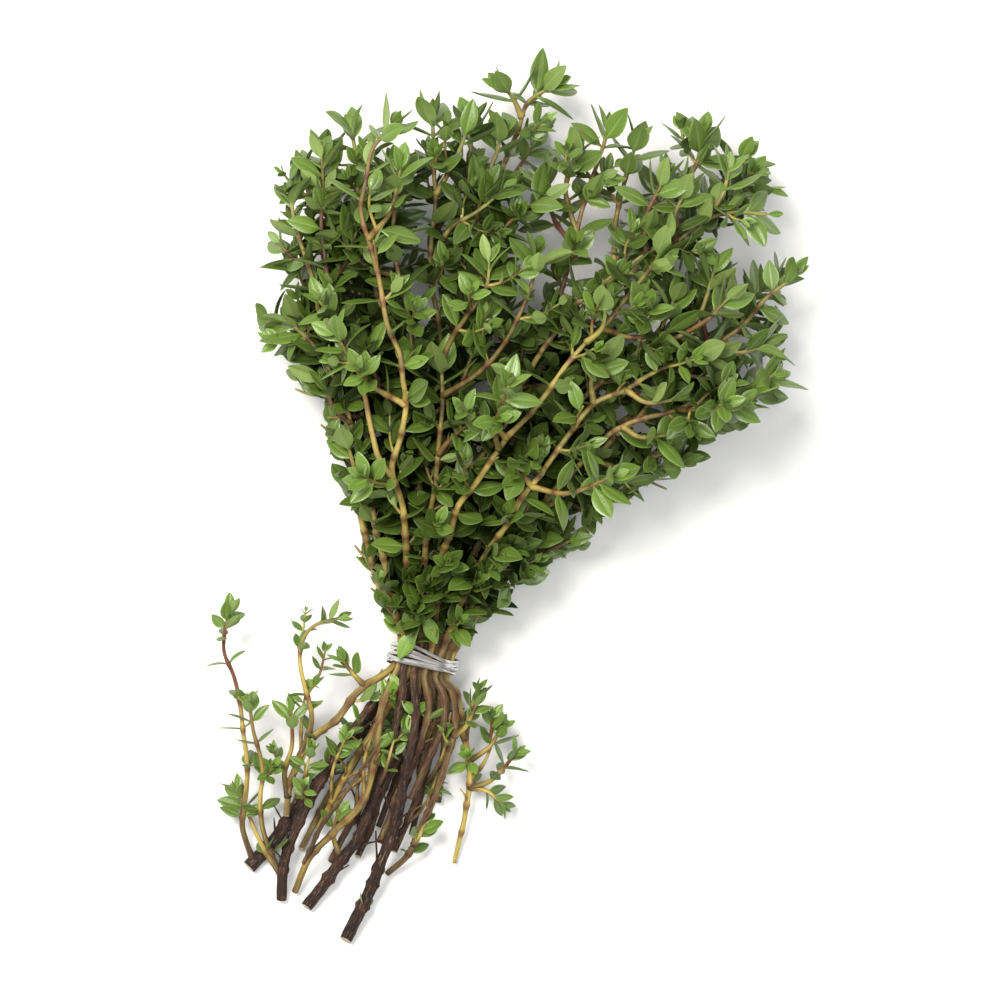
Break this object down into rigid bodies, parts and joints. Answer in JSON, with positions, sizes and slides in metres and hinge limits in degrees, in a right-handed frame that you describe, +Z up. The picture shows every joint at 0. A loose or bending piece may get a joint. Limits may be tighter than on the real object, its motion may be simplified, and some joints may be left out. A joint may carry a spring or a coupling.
{
  "type": "thyme bunch",
  "caption": "Tied bunch of fresh thyme lying on its side: slim woody stems drawn together by a thin clear tie, with a broad fan of small oval leaves above it.",
  "frame": {"origin": "on the surface that the bunch lies on, under the middle of its bounding box", "axes": "+Z up from the surface; +Y along the bunch from its cut stems towards its leafy head; +X to the right seen from above with the head away"},
  "size_m": [0.1232, 0.1798, 0.0563],
  "materials": {
    "green_stem_and_leaf": "fresh thyme: satin green leaves on stems that go from green and gold to brown bark",
    "clear_elastic": "cloudy, nearly clear elastic band"
  },
  "bodies": {
    "root": {"sprig_01": "green_stem_and_leaf", "sprig_02": "green_stem_and_leaf", "sprig_03": "green_stem_and_leaf", "sprig_04": "green_stem_and_leaf", "sprig_05": "green_stem_and_leaf", "sprig_06": "green_stem_and_leaf", "sprig_07": "green_stem_and_leaf", "sprig_08": "green_stem_and_leaf", "sprig_09": "green_stem_and_leaf", "sprig_10": "green_stem_and_leaf", "sprig_11": "green_stem_and_leaf", "sprig_12": "green_stem_and_leaf", "sprig_13": "green_stem_and_leaf", "sprig_14": "green_stem_and_leaf", "sprig_15": "green_stem_and_leaf", "sprig_16": "green_stem_and_leaf", "sprig_17": "green_stem_and_leaf", "sprig_18": "green_stem_and_leaf", "sprig_19": "green_stem_and_leaf", "sprig_20": "green_stem_and_leaf", "sprig_21": "green_stem_and_leaf", "sprig_22": "green_stem_and_leaf", "sprig_23": "green_stem_and_leaf", "sprig_24": "green_stem_and_leaf", "elastic_tie": "clear_elastic"}
  },
  "joints": []
}
